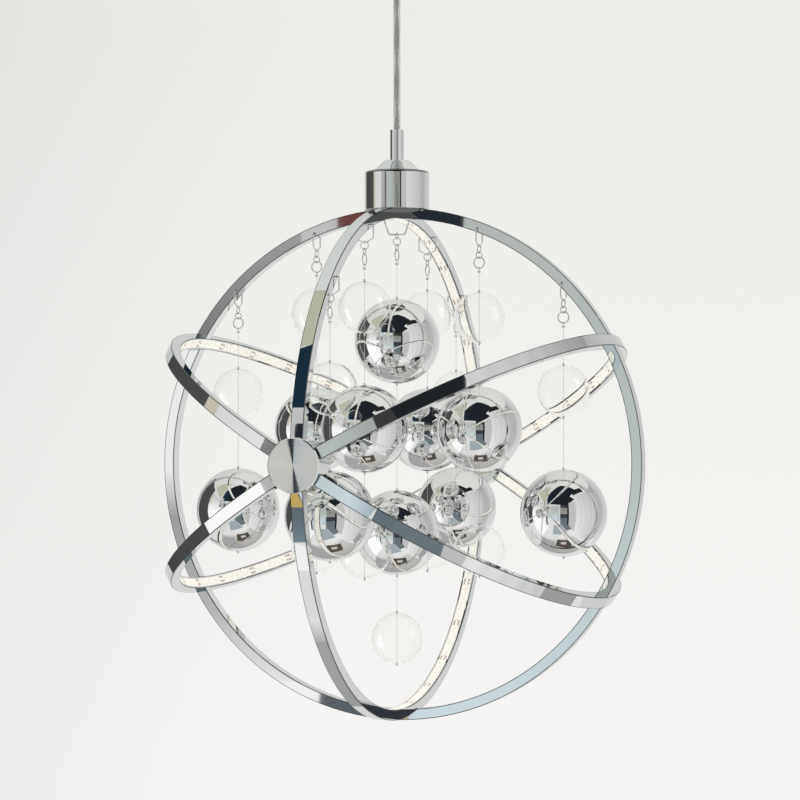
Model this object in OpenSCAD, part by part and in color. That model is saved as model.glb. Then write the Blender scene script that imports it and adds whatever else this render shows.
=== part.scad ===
// Spherical pendant light: chrome hoops on two hubs, lit inside, with strands of glass balls.
// Millimetres. The origin is the middle of the ceiling face, +Z is up and the lamp hangs below it.
// The hub axis runs along Y, with the front hub at -Y. The equator hoop lies in the XZ plane.

/* [Sphere] */
// Outer diameter of the sphere of hoops
sphere_d = 480; // [440:1:560]
// Width of every hoop bar, across the hoop
ring_w = 12; // [11:0.5:14]
// Thickness of every hoop bar, towards the centre
ring_t = 10; // [9:0.5:12]
// Bevel along the edges of every hoop bar
edge_bevel = 0.5; // [0.3:0.1:0.8]
// Angle of the right-hand pair of meridians below even spacing, degrees
right_angle = 1.7; // [-3:0.1:3]
// Diameter of the pins that join the equator arcs through the meridians
pin_d = 3; // [2:0.5:4]
// Length of each pin inside an arc
pin_grip = 8; // [5:1:12]

/* [Hubs] */
// Diameter of the hub drums and their caps
hub_d = 48; // [40:1:56]
// Depth of a drum inside the sphere's outer surface
hub_in = 16; // [14:1:24]
// Reach of a hub outside the sphere's outer surface
hub_out = 6; // [4:0.5:10]
// Wall and floor of a drum
hub_wall = 3; // [2:0.5:4]
// Thickness of the brushed cap disc
cap_t = 2.5; // [2:0.5:4]
// Length of the cap's spigot inside the drum
cap_spigot = 6; // [3:0.5:8]
// Gap round the cap's spigot
spigot_gap = 0.15; // [0.1:0.05:0.3]
// Bevel on the rim of the cap
cap_bevel = 0.8; // [0.4:0.1:1.2]

/* [Light strips] */
// Width of the groove in a meridian's inner face
groove_w = 8.8; // [7:0.2:9]
// Depth of that groove
groove_t = 2; // [1:0.2:2.4]
// Gap at each side of a strip in its groove
strip_gap = 0.2; // [0.1:0.05:0.4]
// Thickness of the silicone strip
strip_t = 2.4; // [2.2:0.1:3]
// Rounded shoulder of the strip
strip_round = 0.6; // [0.3:0.1:0.9]
// Distance of the strip ends from the hub drum
strip_end = 2; // [1:0.5:6]

/* [Ceiling fitting] */
// Diameter of the ceiling rose
rose_d = 120; // [110:1:140]
// Height of the ceiling rose
rose_h = 30; // [28:1:45]
// Sheet thickness of the rose
rose_wall = 1.2; // [1:0.1:2]
// Corner radius of the rose
rose_round = 6; // [4:0.5:9]
// Width of the bracket strap
bracket_w = 22; // [18:1:30]
// Sheet thickness of the bracket
bracket_t = 2; // [1.5:0.1:3]
// Gap from the bracket's tabs to the inside of the rose
tab_gap = 0.2; // [0.1:0.05:0.4]
// Length of the bracket's tabs
tab_h = 16; // [14:1:20]
// Spacing of the two ceiling screws
screw_span = 78; // [76:1:84]
// Diameter of the ceiling screw holes
screw_hole_d = 5; // [4:0.5:6]
// Diameter of the rose's side screws
side_screw_d = 4; // [3:0.5:5]
// Depth of the side screws below the ceiling
side_screw_z = 10; // [8:0.5:12]
// Head diameter of the side screws
side_head_d = 8; // [6:0.5:9]
// Head height of the side screws
side_head_h = 2.6; // [2:0.2:4]
// Width and depth of the slot in the side screws
slot_w = 1.2; // [0.8:0.1:1.6]
// Length of the driver box
driver_l = 62; // [50:1:66]
// Width of the driver box
driver_w = 34; // [30:1:44]
// Height of the driver box
driver_h = 15; // [12:1:16]
// Corner radius of the driver box
driver_round = 3; // [2:0.5:5]

/* [Cord and stem] */
// Diameter of the cord grip under the rose
grip_d = 17; // [15:1:24]
// Height of the cord grip below the rose
grip_h = 12; // [9:1:18]
// Neck of the grip through the rose
grip_neck_d = 12; // [11.5:0.5:14]
// Height of the grip's nut inside the rose
grip_nut_h = 4; // [3:0.5:5]
// Diameter of the pendant cord
cord_d = 6.5; // [5:0.1:8]
// Length of cord in sight between grip and stem
cord_len = 132; // [100:1:400]
// Length of cord inside the grip and inside the stem
cord_in = 4; // [3:0.5:5]
// Gap round the cord in the grip and in the stem
cord_gap = 0.8; // [0.7:0.05:0.95]
// Diameter of the stem tube
stem_d = 13; // [12:0.5:16]
// Height of the stem tube
stem_h = 29; // [26:1:40]
// Diameter of the swivel stud
stud_d = 8; // [7:0.5:8.5]
// Running gap round the swivel stud
stud_gap = 0.3; // [0.2:0.05:0.4]
// Extra diameter of the stud's head
stud_head = 2; // [1.5:0.1:2.4]
// Height of the stud's head
stud_head_h = 3; // [2:0.5:4]
// Floor of the stem that the stud's head rests on
stem_floor = 6; // [4:0.5:8]

/* [Cup] */
// Diameter of the cup on top of the sphere
cup_d = 61; // [52:1:70]
// Height of the cup above the sphere
cup_h = 35; // [28:1:50]
// Wall of the cup
cup_wall = 1.6; // [1.2:0.1:2.5]
// Reach of the cup down over the hoops
cup_skirt = 2.5; // [2:0.1:4]
// Thickness of the cup's base plate
cup_base = 5; // [4:0.5:8]
// Corner radius at the cup's top edge
cup_round = 3; // [1:0.5:4]
// Bevel round the foot of the cup
cup_bevel = 1.2; // [0.6:0.1:1.6]
// Lower diameter of the dome on the cup
dome_d = 45; // [36:1:48]
// Upper diameter of the dome
dome_top_d = 25; // [20:1:30]
// Height of the dome
dome_h = 10; // [7:0.5:15]
// Length of the dome's spigot inside the cup
dome_spigot = 4; // [2:0.5:6]

/* [Strands] */
// Diameter of the mirror balls
mirror_d = 80; // [60:1:84]
// Diameter of the clear balls
clear_d = 48; // [36:1:54]
// Wall of the glass balls
glass_t = 0.9; // [0.8:0.1:2]
// Free space between an outer mirror ball and the hoops
rim_gap = 20; // [14:0.5:30]
// Height of the clear ball on an outer strand, from the sphere's centre
outer_clear_z = 67; // [55:1:75]
// Height of the mirror ball on an outer strand
outer_mirror_z = -45; // [-60:1:-35]
// Height of the upper clear ball on an inner strand
inner_top_z = 143; // [138:1:148]
// Height of the upper clear ball on the right inner strand
right_top_z = 136; // [132:1:148]
// Height of the mirror ball on an inner strand
inner_mirror_z = 32; // [20:1:40]
// Height of the lower clear ball on an inner strand
inner_low_z = -80; // [-90:1:-72]
// Height of the upper mirror ball on the centre strand
centre_top_z = 115; // [100:1:120]
// Height of the lower mirror ball on the centre strand
centre_mirror_z = -65; // [-75:1:-55]
// Height of the clear ball on the centre strand
centre_low_z = -164; // [-170:1:-150]
// Diameter of the fine line
line_d = 0.5; // [0.4:0.1:0.8]
// Diameter of the crimps above and below each ball
crimp_d = 2.2; // [2:0.1:3]
// Height of a crimp
crimp_h = 1.8; // [1.4:0.1:3]
// Gap round the line in a ball's holes
ball_hole_gap = 0.4; // [0.3:0.1:0.6]
// Extra diameter of the flat ground at a ball's poles
pole_land = 0.6; // [0.4:0.1:1]
// Metal of the top crimp outside the legs of the line's eye
eye_land = 0.1; // [0.05:0.05:0.3]

/* [Hooks] */
// Wire of the hooks
hook_wire = 1.2; // [1:0.1:1.6]
// Metal between the hook holes and the groove of the strip
hook_land = 0.5; // [0.5:0.1:3]
// Gap round the hook wire in its hole
hook_gap = 0.4; // [0.3:0.05:0.6]
// Gap between a hook's legs and the hoop
leg_gap = 2; // [0.6:0.1:2.4]
// Straight length of a hook's legs below its hole
leg_h = 12.5; // [10:0.5:14]
// Height of the pointed part below the legs
point_h = 4.5; // [4:0.5:7]
// Bend radius of the hooks, at the middle of the wire
hook_bend = 1.2; // [1:0.1:1.5]
// Wire of the chain links
link_wire = 1; // [0.8:0.1:1.2]
// Outer diameter of the upper link
upper_d = 8.5; // [7.5:0.1:9.5]
// Outer diameter of the lower link
link_d = 7; // [6.5:0.1:8]
// Outer diameter of the large ring
loop_d = 11.5; // [9:0.5:14]
// Gap between a hook and the link on it
link_gap = 0.3; // [0.25:0.05:0.4]
// Gap between links that move as one
rest_gap = 0.05; // [0.03:0.01:0.1]
// Outer diameter of the line's eye
eye_d = 2.8; // [2.6:0.1:4]
// Wire of the centre hanger
hanger_wire = 1.6; // [1.2:0.1:2]
// Half width of the centre hanger at its holes
hanger_top = 13; // [11:0.5:18]
// Half width of the centre hanger's bar
hanger_bar = 8; // [6:0.5:10]
// Drop of the centre hanger's bar below the hoops' inner face
hanger_drop = 14.5; // [12:0.5:20]
// Depth of the hanger's holes
hanger_in = 4; // [3:0.5:5]
// Bend radius of the centre hanger, at the middle of the wire
hanger_bend = 2.4; // [1.6:0.2:4]

/* [Hidden] */
$fn = 96;
small = 0.01;
// Bends are a touch thicker than the straight wire, whose ends reach into them
bend_swell = 1.04;
bend_lap = 0.1;
cut = 1;
sphere_r = sphere_d/2;
ring_in = sphere_r - ring_t;
stem_top = -(rose_h + grip_h + cord_len);
centre_z = stem_top - stem_h - dome_h - cup_h - sphere_r;
cup_top = sphere_r + cup_h;
dome_top = cup_top + dome_h;
pin_r = sphere_r - (ring_t - groove_t)/2;
stud_low = ring_in + groove_t + cut;
stud_high = dome_top + stem_floor + stud_gap;
groove_floor = ring_in + groove_t;
hole_r = groove_floor + hook_land + hook_wire/2 + hook_gap;

// Outline of a hoop bar with bevelled edges, outer face at +X
bar_outline = [
    [sphere_r - edge_bevel, -ring_w/2],
    [sphere_r, -ring_w/2 + edge_bevel],
    [sphere_r, ring_w/2 - edge_bevel],
    [sphere_r - edge_bevel, ring_w/2],
    [ring_in + edge_bevel, ring_w/2],
    [ring_in, ring_w/2 - edge_bevel],
    [ring_in, -ring_w/2 + edge_bevel],
    [ring_in + edge_bevel, -ring_w/2],
];

// Angles of the meridians about the hub axis, from +X towards +Z
top_angle = 90;
step_angle = 60;
MERIDIANS = [
    ["top", top_angle],
    ["upper_right", top_angle - step_angle - right_angle],
    ["lower_right", top_angle - 2*step_angle - right_angle],
    ["bottom", top_angle - 3*step_angle],
    ["lower_left", top_angle + 2*step_angle],
    ["upper_left", top_angle + step_angle],
];
angles = [for (m = MERIDIANS) m[1]];

// Strands: name, turn of the hoop they hang on, distance along it, mirror heights and clear heights
on_equator = 0;
on_top = 90;
strand_outer = sqrt(pow(ring_in - rim_gap - mirror_d/2, 2) - pow(outer_mirror_z, 2));
strand_inner = strand_outer/2;
outer_balls = [[outer_mirror_z], [outer_clear_z]];
inner_balls = [[inner_mirror_z], [inner_top_z, inner_low_z]];
right_balls = [[inner_mirror_z], [right_top_z, inner_low_z]];
centre_balls = [[centre_top_z, centre_mirror_z], [centre_low_z]];
STRANDS = [
    ["left_outer", on_equator, -strand_outer, outer_balls],
    ["left_inner", on_equator, -strand_inner, inner_balls],
    ["right_inner", on_equator, strand_inner, right_balls],
    ["right_outer", on_equator, strand_outer, outer_balls],
    ["front_outer", on_top, -strand_outer, outer_balls],
    ["front_inner", on_top, -strand_inner, inner_balls],
    ["rear_inner", on_top, strand_inner, inner_balls],
    ["rear_outer", on_top, strand_outer, outer_balls],
    ["centre", on_top, 0, centre_balls],
];
function is_centre(s) = s[2] == 0;
function hole_z(s) = sqrt(hole_r*hole_r - s[2]*s[2]);

// Middle line of the link wire and ring wire circles
upper_r = (upper_d - link_wire)/2;
link_r = (link_d - link_wire)/2;
loop_r = (loop_d - hook_wire)/2;
eye_r = (eye_d - line_d)/2;
hanger_z = sqrt(ring_in*ring_in - hanger_top*hanger_top);
bar_z = ring_in - hanger_drop;
hanger_lean = atan2(hanger_top - hanger_bar, hanger_z - bar_z);
// Height of the link on the centre bar, and of the lowest wire that a strand's link hangs on
bar_eye_z = bar_z + (hanger_wire + link_wire)/2 + link_gap - link_r;
leg_x = ring_w/2 + leg_gap + hook_wire/2;
point_turn = atan2(leg_x, point_h);
// A link is turned against its hook, so its wire takes more room across the hook's point
link_turn = 45;
link_across = link_wire/sin(link_turn);
hook_rise = ((hook_wire + link_across)/2 + link_gap)/sin(point_turn);
eye_rise = (link_wire + link_across)/2 + link_gap;
function tip_z(s) = is_centre(s) ? bar_eye_z - link_r : hole_z(s) - leg_h - point_h;
function pivot_z(s) = tip_z(s) + (is_centre(s) ? eye_rise : hook_rise);
function upper_z(s) = pivot_z(s) - upper_r;
function link_z(s) = upper_z(s) - upper_r + link_wire + rest_gap - link_r;
function loop_z(s) = link_z(s) - link_r + (link_wire + hook_wire)/2 + rest_gap - loop_r;
function eye_z(s) = loop_z(s) - loop_r + (hook_wire + line_d)/2 + rest_gap - eye_r;
function line_top(s) = eye_z(s) - eye_r;

// Height of the ground flat above a ball's middle
pole_r = crimp_d/2 + pole_land/2;
function pole_z(d) = sqrt(d*d/4 - pole_r*pole_r);
function sorted_balls(s) = is_centre(s)
    ? [[s[3][0][0], mirror_d], [s[3][0][1], mirror_d], [s[3][1][0], clear_d]]
    : len(s[3][1]) == 1
        ? [[s[3][1][0], clear_d], [s[3][0][0], mirror_d]]
        : [[s[3][1][0], clear_d], [s[3][0][0], mirror_d], [s[3][1][1], clear_d]];

// Shared shapes

// Places its children in the frame of the sphere's centre
module at_centre() {
    translate([0, 0, centre_z]) children();
}

// Turns a shape drawn in the XY plane with its middle on +X to a meridian's angle
module about_hub(angle) {
    rotate([0, -angle, 0]) children();
}

// Turns a shape that points along +Z to the front hub or the rear hub
module on_hub(front) {
    rotate([front ? 90 : -90, 0, 0]) children();
}

// Moves a shape to a strand's own axis, at the height of the sphere's centre
module on_strand(s) {
    at_centre() rotate([0, 0, s[1]]) translate([s[2], 0, 0]) children();
}

// Ring of round wire in the XZ plane
module wire_ring(mean_r, wire) {
    rotate([90, 0, 0]) rotate_extrude() translate([mean_r, 0]) circle(d = wire);
}

// Direction of a way in the XY plane, and the signed turn from one way to the next
function heading(way) = atan2(way.y, way.x);
function turn_between(a, b) = (heading(b) - heading(a) + 540) % 360 - 180;

// Round wire along points in the XY plane, bent to a radius at each inner point
module wire_path(points, wire, bend, closed = false) {
    n = len(points);
    ways = [for (i = [0 : n - 1]) points[(i + 1) % n] - points[i]];
    turns = [for (i = [0 : n - 1]) turn_between(ways[(i + n - 1) % n], ways[i])];
    bent = [for (i = [0 : n - 1]) closed || (i > 0 && i < n - 1)];
    reach = [for (i = [0 : n - 1]) bent[i] ? bend*tan(abs(turns[i])/2) : bend_lap];
    for (i = [0 : closed ? n - 1 : n - 2])
        translate([points[i].x, points[i].y, 0])
            rotate([0, 90, heading(ways[i])])
                translate([0, 0, reach[i] - bend_lap])
                    cylinder(d = wire, h = norm(ways[i]) - reach[i] - reach[(i + 1) % n] + 2*bend_lap);
    for (i = [0 : n - 1])
        if (bent[i])
            translate([points[i].x, points[i].y, 0])
                rotate([0, 0, heading(ways[i])])
                    translate([reach[i], sign(turns[i])*bend, 0])
                        mirror([0, turns[i] > 0 ? 1 : 0, 0])
                            rotate([0, 0, 90])
                                rotate_extrude(angle = abs(turns[i]))
                                    translate([bend, 0]) circle(d = wire*bend_swell);
}

// Half hoop bar in the XY plane, from -Y through +X to +Y, with the groove for a light strip
module half_bar() {
    rotate([0, 0, -90])
        rotate_extrude(angle = 180)
            difference() {
                polygon(bar_outline);
                translate([ring_in - cut, -groove_w/2]) square([groove_t + cut, groove_w]);
            }
}

// Hook holes of one line of strands, along their common hole axis
module hook_holes(line_turn) {
    for (s = STRANDS)
        if (s[1] == line_turn && !is_centre(s))
            rotate([0, 0, s[1]])
                translate([s[2], 0, hole_z(s)])
                    rotate([90, 0, 0])
                        cylinder(d = hook_wire + 2*hook_gap, h = ring_w + 2*cut, center = true);
}

// Straight pins across the hoop joints, all but the top one, which holds the swivel stud
module joint_pins() {
    for (a = angles)
        if (a != top_angle)
            about_hub(a)
                translate([pin_r, 0, 0])
                    cylinder(d = pin_d, h = ring_w + 2*pin_grip, center = true);
}

module swivel_stud_shank() {
    translate([0, 0, stud_low]) cylinder(d = stud_d, h = stud_high - stud_low);
}

// Hollow glass ball with a hole and a ground flat at each pole
module glass_ball(d) {
    difference() {
        sphere(d = d);
        sphere(d = d - 2*glass_t);
        cylinder(d = line_d + 2*ball_hole_gap, h = d + cut, center = true);
        for (up = [0, 1])
            mirror([0, 0, up])
                translate([0, 0, pole_z(d)])
                    cylinder(d = 4*pole_r, h = d);
    }
}

// Block with round upright edges
module round_block(l, w, h, r) {
    cube([l, w - 2*r, h], center = true);
    cube([l - 2*r, w, h], center = true);
    for (x = [-1, 1], y = [-1, 1])
        translate([x*(l/2 - r), y*(w/2 - r), 0])
            cylinder(r = r, h = h, center = true);
}

// Ceiling fitting

module ceiling_bracket() {
    reach = rose_d/2 - rose_wall - tab_gap;
    tab_x = sqrt(reach*reach - bracket_w*bracket_w/4);
    color("gainsboro")
        difference() {
            union() {
                translate([0, 0, -bracket_t/2])
                    cube([2*tab_x, bracket_w, bracket_t], center = true);
                for (x = [-1, 1])
                    translate([x*(tab_x - bracket_t/2), 0, -tab_h/2])
                        cube([bracket_t, bracket_w, tab_h], center = true);
            }
            for (x = [-1, 1])
                translate([x*screw_span/2, 0, 0])
                    cylinder(d = screw_hole_d, h = 3*bracket_t, center = true);
            translate([0, 0, -side_screw_z])
                rotate([0, 90, 0])
                    cylinder(d = side_screw_d, h = rose_d, center = true);
        }
}

module ceiling_rose() {
    outer = rose_d/2;
    inner = outer - rose_wall;
    floor_z = -rose_h + rose_wall;
    color("silver")
        difference() {
            rotate_extrude()
                difference() {
                    union() {
                        translate([0, -rose_h + rose_round]) square([outer, rose_h - rose_round]);
                        translate([0, -rose_h]) square([outer - rose_round, rose_round + small]);
                        translate([outer - rose_round, -rose_h + rose_round])
                            intersection() {
                                circle(r = rose_round);
                                translate([0, -rose_round]) square(rose_round);
                            }
                    }
                    translate([0, -rose_h + rose_round]) square([inner, rose_h]);
                    translate([0, floor_z]) square([inner - rose_round + rose_wall, rose_h]);
                    translate([outer - rose_round, -rose_h + rose_round])
                        circle(r = rose_round - rose_wall);
                }
            cylinder(d = grip_neck_d, h = 3*rose_h, center = true);
            translate([0, 0, -side_screw_z])
                rotate([0, 90, 0])
                    cylinder(d = side_screw_d, h = rose_d + 2*cut, center = true);
        }
}

module rose_screws() {
    reach = rose_d/2 - rose_wall - tab_gap;
    tab_x = sqrt(reach*reach - bracket_w*bracket_w/4);
    seat = sqrt(rose_d*rose_d - side_head_d*side_head_d)/2;
    tip = tab_x - bracket_t - cut;
    color("silver")
        for (x = [0, 1])
            mirror([x, 0, 0])
                translate([0, 0, -side_screw_z])
                    rotate([0, 90, 0])
                        difference() {
                            union() {
                                translate([0, 0, tip])
                                    cylinder(d = side_screw_d, h = rose_d/2 + side_head_h/2 - tip);
                                translate([0, 0, seat]) cylinder(d = side_head_d, h = side_head_h);
                            }
                            // The head's underside is hollow where it sits on the round rose
                            rotate([0, 90, 0])
                                difference() {
                                    cylinder(d = rose_d, h = 2*side_head_d, center = true);
                                    rotate([0, -90, 0])
                                        cylinder(d = side_screw_d, h = rose_d);
                                }
                            translate([0, 0, seat + side_head_h])
                                cube([slot_w, 2*side_head_d, 2*slot_w], center = true);
                        }
}

module led_driver() {
    color("white")
        translate([0, 0, -bracket_t - driver_h/2])
            round_block(driver_l, driver_w, driver_h, driver_round);
}

module cord_grip() {
    bore = cord_d/2 + cord_gap;
    nut_r = grip_d/2;
    neck_r = grip_neck_d/2;
    floor_z = -rose_h + rose_wall;
    taper = grip_h/4;
    color("silver")
        rotate_extrude()
            polygon([
                [bore, -rose_h - grip_h],
                [nut_r - taper, -rose_h - grip_h],
                [nut_r, -rose_h - grip_h + 2*taper],
                [nut_r, -rose_h],
                [neck_r, -rose_h],
                [neck_r, floor_z],
                [nut_r, floor_z],
                [nut_r, floor_z + grip_nut_h],
                [bore, floor_z + grip_nut_h],
            ]);
}

// Cord and stem

module pendant_cord() {
    color("lightgray")
        translate([0, 0, stem_top - cord_in])
            cylinder(d = cord_d, h = cord_len + 2*cord_in);
}

module stem_tube() {
    bore = stud_d/2 + stud_gap;
    head_bore = bore + stud_head/2;
    cord_bore = cord_d/2 + cord_gap;
    low = dome_top;
    shelf = low + stem_floor;
    high = low + stem_h;
    head_top = shelf + stud_head_h + 2*stud_gap;
    color("silver")
        at_centre()
            rotate_extrude()
                polygon([
                    [bore, low],
                    [stem_d/2, low],
                    [stem_d/2, high],
                    [cord_bore, high],
                    [cord_bore, high - 2*cord_in],
                    [head_bore, head_top],
                    [head_bore, shelf],
                    [bore, shelf],
                ]);
}

module swivel_stud() {
    color("goldenrod")
        at_centre() {
            swivel_stud_shank();
            translate([0, 0, stud_high]) cylinder(d = stud_d + stud_head, h = stud_head_h);
        }
}

module cup_dome() {
    low = cup_top - dome_spigot;
    spigot_r = dome_d/2 - cup_wall;
    color("silver")
        at_centre()
            rotate_extrude()
                polygon([
                    [stud_d/2, dome_top - stud_gap],
                    [stud_d/2, dome_top - stud_gap - 2*cup_wall],
                    [dome_top_d/2 - cup_wall, dome_top - stud_gap - 2*cup_wall],
                    [spigot_r - cup_wall, cup_top],
                    [spigot_r - cup_wall, low],
                    [spigot_r, low],
                    [spigot_r, cup_top],
                    [dome_d/2, cup_top],
                    [dome_top_d/2 + cup_wall, dome_top - cup_wall],
                    [dome_top_d/2, dome_top - stud_gap],
                ]);
}

module cup_body() {
    outer = cup_d/2;
    inner = outer - cup_wall;
    mouth = dome_d/2 - cup_wall;
    low = sphere_r - cup_skirt;
    floor_z = low + cup_base;
    color("silver")
        at_centre()
            difference() {
                rotate_extrude()
                    difference() {
                        union() {
                            polygon([
                                [0, low],
                                [outer - cup_bevel, low],
                                [outer, low + cup_bevel],
                                [outer, cup_top - cup_round],
                                [0, cup_top - cup_round],
                            ]);
                            translate([0, cup_top - cup_round - small])
                                square([outer - cup_round, cup_round + small]);
                            translate([outer - cup_round, cup_top - cup_round])
                                intersection() {
                                    circle(r = cup_round);
                                    square(cup_round);
                                }
                        }
                        translate([0, floor_z])
                            square([inner - cup_round, cup_top - cup_wall - floor_z]);
                        translate([0, floor_z])
                            square([inner, cup_top - cup_wall - cup_round - floor_z]);
                        translate([0, floor_z]) square([mouth, cup_top - floor_z + cut]);
                    }
                hoop_saddle();
                cylinder(d = stud_d, h = 3*sphere_r, center = true);
            }
}

// Space that the equator hoop and the top meridian take under the cup
module hoop_saddle() {
    rotate([90, 0, 0]) cylinder(r = sphere_r, h = ring_w, center = true);
    rotate([0, 90, 0]) cylinder(r = sphere_r, h = ring_w, center = true);
}

// Hoops

module meridian(angle) {
    color("silver")
        at_centre()
            difference() {
                about_hub(angle) half_bar();
                for (front = [true, false])
                    on_hub(front) cylinder(d = hub_d, h = sphere_r + cut);
                joint_pins();
                if (angle == top_angle) {
                    hook_holes(on_top);
                    swivel_stud_shank();
                }
            }
}

module equator_arcs() {
    color("silver")
        at_centre()
            difference() {
                rotate([90, 0, 0]) rotate_extrude() polygon(bar_outline);
                for (a = angles)
                    about_hub(a)
                        translate([sphere_r - ring_t/2, 0, 0])
                            cube([2*ring_t, 2*ring_w, ring_w], center = true);
                joint_pins();
                hook_holes(on_equator);
                for (x = [-1, 1])
                    translate([x*hanger_top, 0, hanger_z])
                        rotate([0, x*hanger_lean, 0])
                            translate([0, 0, -hanger_in])
                                cylinder(d = hanger_wire, h = 2*hanger_in);
            }
}

module arc_pins() {
    color("dimgray") at_centre() joint_pins();
}

module led_strips() {
    strip_w = groove_w - 2*strip_gap;
    inner = groove_floor - strip_t;
    color("ivory")
        at_centre()
            for (a = angles)
                difference() {
                    about_hub(a)
                        rotate([0, 0, -90])
                            rotate_extrude(angle = 180)
                                polygon([
                                    [groove_floor, -strip_w/2],
                                    [groove_floor, strip_w/2],
                                    [inner + strip_round, strip_w/2],
                                    [inner, strip_w/2 - strip_round],
                                    [inner, -strip_w/2 + strip_round],
                                    [inner + strip_round, -strip_w/2],
                                ]);
                    for (front = [true, false])
                        on_hub(front) cylinder(d = hub_d + 2*strip_end, h = sphere_r);
                }
}

// Hubs

module hub_drum(front) {
    low = sphere_r - hub_in;
    high = sphere_r + hub_out - cap_t;
    outer = hub_d/2;
    color("silver")
        at_centre()
            on_hub(front)
                rotate_extrude()
                    polygon([
                        [0, low],
                        [outer, low],
                        [outer, high],
                        [outer - hub_wall, high],
                        [outer - hub_wall, low + hub_wall],
                        [0, low + hub_wall],
                    ]);
}

module hub_cap(front) {
    low = sphere_r + hub_out - cap_t;
    high = sphere_r + hub_out;
    outer = hub_d/2;
    spigot = outer - hub_wall - spigot_gap;
    color("lightgray")
        at_centre()
            on_hub(front)
                rotate_extrude()
                    polygon([
                        [0, low - cap_spigot],
                        [spigot, low - cap_spigot],
                        [spigot, low],
                        [outer, low],
                        [outer, high - cap_bevel],
                        [outer - cap_bevel, high],
                        [0, high],
                    ]);
}

module front_hub() {
    hub_drum(true);
}

module front_cap() {
    hub_cap(true);
}

module rear_hub() {
    hub_drum(false);
}

module rear_cap() {
    hub_cap(false);
}

// Strands

module centre_hanger() {
    end = [hanger_top, hanger_z] + hanger_in*[sin(hanger_lean), cos(hanger_lean)];
    color("silver")
        at_centre()
            rotate([90, 0, 0])
                wire_path([[-end.x, end.y], [-hanger_bar, bar_z], [hanger_bar, bar_z], end],
                    hanger_wire, hanger_bend);
}

module hook(s) {
    color("silver")
        on_strand(s)
            if (is_centre(s))
                translate([0, 0, bar_eye_z]) wire_ring(link_r, link_wire);
            else
                translate([0, 0, hole_z(s)])
                    rotate([0, 0, 90])
                        rotate([90, 0, 0])
                            wire_path([
                                [-leg_x, 0],
                                [leg_x, 0],
                                [leg_x, -leg_h],
                                [0, -leg_h - point_h],
                                [-leg_x, -leg_h],
                            ], hook_wire, hook_bend, closed = true);
}

// Outline of the line with its crimps, from its top crimp down to the last crimp
function crimped(z, half) = [
    [line_d/2, z + half + crimp_h],
    [crimp_d/2, z + half + crimp_h],
    [crimp_d/2, z + half],
    [line_d/2, z + half],
    [line_d/2, z - half],
    [crimp_d/2, z - half],
    [crimp_d/2, z - half - crimp_h],
    [line_d/2, z - half - crimp_h],
];

module line(s) {
    balls = sorted_balls(s);
    top = line_top(s) - eye_r;
    last = balls[len(balls) - 1];
    end = last[0] - pole_z(last[1]) - crimp_h;
    color("silver")
        on_strand(s) {
            translate([0, 0, upper_z(s)]) rotate([0, 0, -link_turn]) wire_ring(upper_r, link_wire);
            translate([0, 0, link_z(s)]) rotate([0, 0, link_turn]) wire_ring(link_r, link_wire);
            translate([0, 0, loop_z(s)]) wire_ring(loop_r, hook_wire);
            translate([0, 0, eye_z(s)])
                rotate([0, 0, 90])
                    rotate([90, 0, 0])
                        rotate_extrude(angle = 180) translate([eye_r, 0]) circle(d = line_d);
            for (y = [-1, 1])
                translate([0, y*eye_r, top]) cylinder(d = line_d, h = eye_z(s) - top);
            rotate_extrude()
                polygon(concat(
                    [[0, top], [eye_d/2 + eye_land, top]],
                    [[eye_d/2 + eye_land, top - crimp_h], [line_d/2, top - crimp_h]],
                    [for (b = balls) each crimped(b[0], pole_z(b[1]))],
                    [[0, end]]
                ));
        }
}

module mirror_balls(s) {
    color("lightsteelblue")
        on_strand(s)
            for (z = s[3][0]) translate([0, 0, z]) glass_ball(mirror_d);
}

module clear_balls(s) {
    color("aliceblue", 0.4)
        on_strand(s)
            for (z = s[3][1]) translate([0, 0, z]) glass_ball(clear_d);
}

ceiling_bracket();
ceiling_rose();
rose_screws();
led_driver();
cord_grip();
pendant_cord();
stem_tube();
swivel_stud();
cup_dome();
cup_body();
for (m = MERIDIANS)
    meridian(m[1]);
equator_arcs();
arc_pins();
led_strips();
front_hub();
front_cap();
rear_hub();
rear_cap();
centre_hanger();
for (s = STRANDS)
    hook(s);
for (s = STRANDS)
    line(s);
for (s = STRANDS)
    mirror_balls(s);
for (s = STRANDS)
    clear_balls(s);
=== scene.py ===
"""Looks of a spherical pendant light: chrome hoops, light strips and strands of glass balls."""
import math

import bmesh
import bpy
from mathutils import Matrix, Vector


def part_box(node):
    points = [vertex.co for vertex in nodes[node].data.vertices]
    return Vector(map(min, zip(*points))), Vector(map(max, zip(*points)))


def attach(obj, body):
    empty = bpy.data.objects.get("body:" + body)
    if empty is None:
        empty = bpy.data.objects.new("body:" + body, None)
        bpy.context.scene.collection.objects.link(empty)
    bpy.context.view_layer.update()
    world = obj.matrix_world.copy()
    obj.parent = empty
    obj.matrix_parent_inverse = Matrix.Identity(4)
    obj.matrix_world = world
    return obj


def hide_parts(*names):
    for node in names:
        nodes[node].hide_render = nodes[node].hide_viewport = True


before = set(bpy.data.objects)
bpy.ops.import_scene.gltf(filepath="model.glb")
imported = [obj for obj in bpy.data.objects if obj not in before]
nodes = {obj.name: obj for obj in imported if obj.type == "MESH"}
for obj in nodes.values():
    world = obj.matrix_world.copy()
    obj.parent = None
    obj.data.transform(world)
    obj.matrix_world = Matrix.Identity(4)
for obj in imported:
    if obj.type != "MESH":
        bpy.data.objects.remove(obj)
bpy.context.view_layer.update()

# The sphere of hoops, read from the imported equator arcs
hoop_low, hoop_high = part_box("equator_arcs")
SPHERE_MID = (hoop_low + hoop_high) / 2
SPHERE_R = (hoop_high.x - hoop_low.x) / 2
MM = 0.001

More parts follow.
